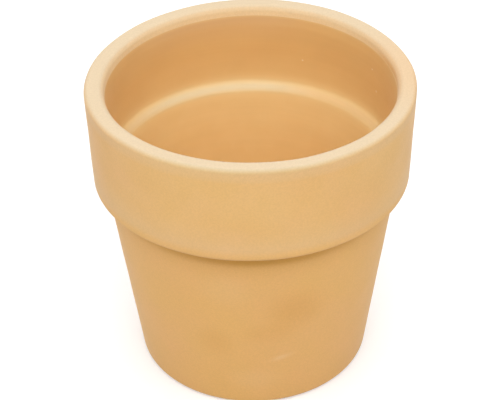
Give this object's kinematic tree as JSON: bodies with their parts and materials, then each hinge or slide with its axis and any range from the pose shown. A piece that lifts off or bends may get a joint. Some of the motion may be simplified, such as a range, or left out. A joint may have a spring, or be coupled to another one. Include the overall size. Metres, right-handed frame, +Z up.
{
  "type": "cachepot",
  "caption": "Round fired-clay cachepot with a tapered body, a plain upright collar, a closed floor and a watertight coat inside; holds a plant in its nursery pot.",
  "frame": {"origin": "on the pot's axis, in the plane of the foot ring that the pot stands on", "axes": "+Z up along the pot's axis, from the foot to the lip; the pot is round, so +X and +Y are any two level directions at right angles"},
  "size_m": [0.1298, 0.1298, 0.128],
  "materials": {
    "fired_clay": "unglazed pale orange-buff fired clay, matt and smooth, with faint clouding",
    "clear_matt_coat": "thin clear matt sealing coat over the same clay, so it takes the clay's colour with a slight satin sheen"
  },
  "bodies": {
    "root": {"clay_pot": "fired_clay", "watertight_coat": "clear_matt_coat"}
  },
  "joints": []
}
